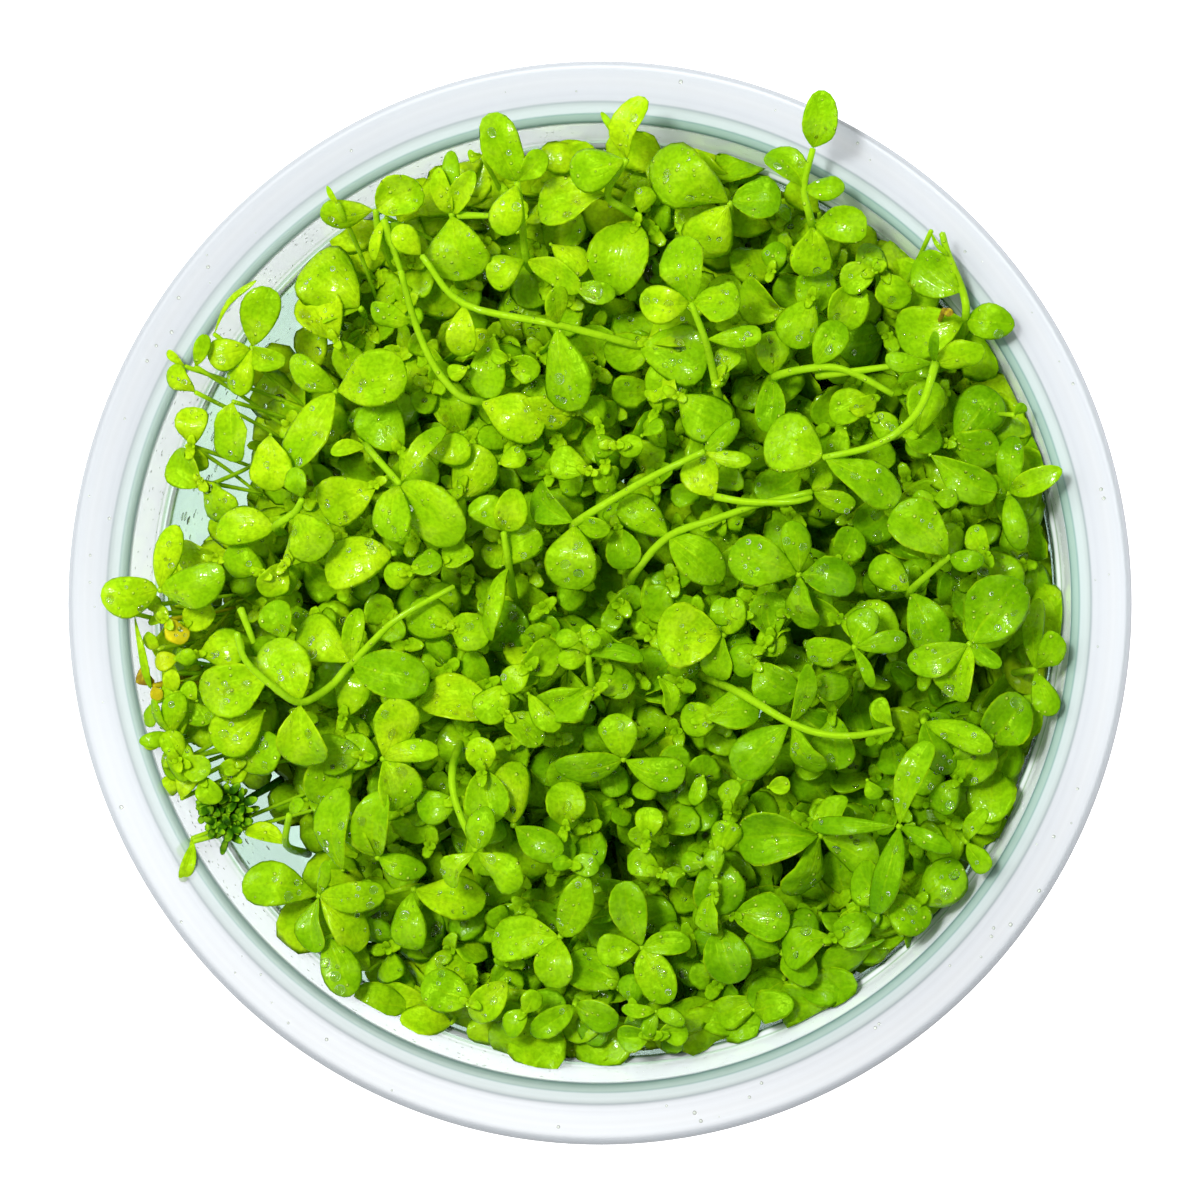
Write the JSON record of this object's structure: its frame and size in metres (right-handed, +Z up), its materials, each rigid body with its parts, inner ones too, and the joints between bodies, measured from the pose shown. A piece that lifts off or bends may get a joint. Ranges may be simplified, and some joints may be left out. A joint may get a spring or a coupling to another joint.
{
  "type": "pearlweed in a tissue-culture tub",
  "caption": "Pearlweed, a creeping aquarium plant with small round paired leaves, grown as a dense cushion on gel in a round clear plastic tub with a wide rim.",
  "frame": {"origin": "centre of the tub's underside", "axes": "+Z up out of the tub, +Y towards the top of the picture, +X towards its right"},
  "size_m": [0.1, 0.1, 0.0497],
  "materials": {
    "clear_plastic": "clear moulded plastic, smooth, slightly bluish",
    "clear_gel": "clear nutrient gel, faintly cloudy",
    "lower_leaves": "dark green leaves, satin, wet with dew",
    "upper_leaves": "bright yellow-green leaves, satin, wet with dew",
    "moss": "dark green narrow leaves, matt"
  },
  "bodies": {
    "root": {"tub": "clear_plastic", "gel": "clear_gel", "lower_shoots": "lower_leaves", "shoot_01": "upper_leaves", "shoot_02": "upper_leaves", "shoot_03": "upper_leaves", "shoot_04": "upper_leaves", "shoot_05": "upper_leaves", "shoot_06": "upper_leaves", "shoot_07": "upper_leaves", "shoot_08": "upper_leaves", "shoot_09": "upper_leaves", "shoot_10": "upper_leaves", "shoot_11": "upper_leaves", "shoot_12": "upper_leaves", "shoot_13": "upper_leaves", "shoot_14": "upper_leaves", "shoot_15": "upper_leaves", "shoot_16": "upper_leaves", "shoot_17": "upper_leaves", "shoot_18": "upper_leaves", "shoot_19": "upper_leaves", "shoot_20": "upper_leaves", "shoot_21": "upper_leaves", "shoot_22": "upper_leaves", "shoot_23": "upper_leaves", "shoot_24": "upper_leaves", "shoot_25": "upper_leaves", "shoot_26": "upper_leaves", "shoot_27": "upper_leaves", "shoot_28": "upper_leaves", "shoot_29": "upper_leaves", "shoot_30": "upper_leaves", "shoot_31": "upper_leaves", "shoot_32": "upper_leaves", "shoot_33": "upper_leaves", "shoot_34": "upper_leaves", "shoot_35": "upper_leaves", "shoot_36": "upper_leaves", "shoot_37": "upper_leaves", "shoot_38": "upper_leaves", "shoot_39": "upper_leaves", "shoot_40": "upper_leaves", "shoot_41": "upper_leaves", "shoot_42": "upper_leaves", "shoot_43": "upper_leaves", "shoot_44": "upper_leaves", "shoot_45": "upper_leaves", "shoot_46": "upper_leaves", "shoot_47": "upper_leaves", "shoot_48": "upper_leaves", "shoot_49": "upper_leaves", "shoot_50": "upper_leaves", "moss_tuft": "moss"}
  },
  "joints": []
}
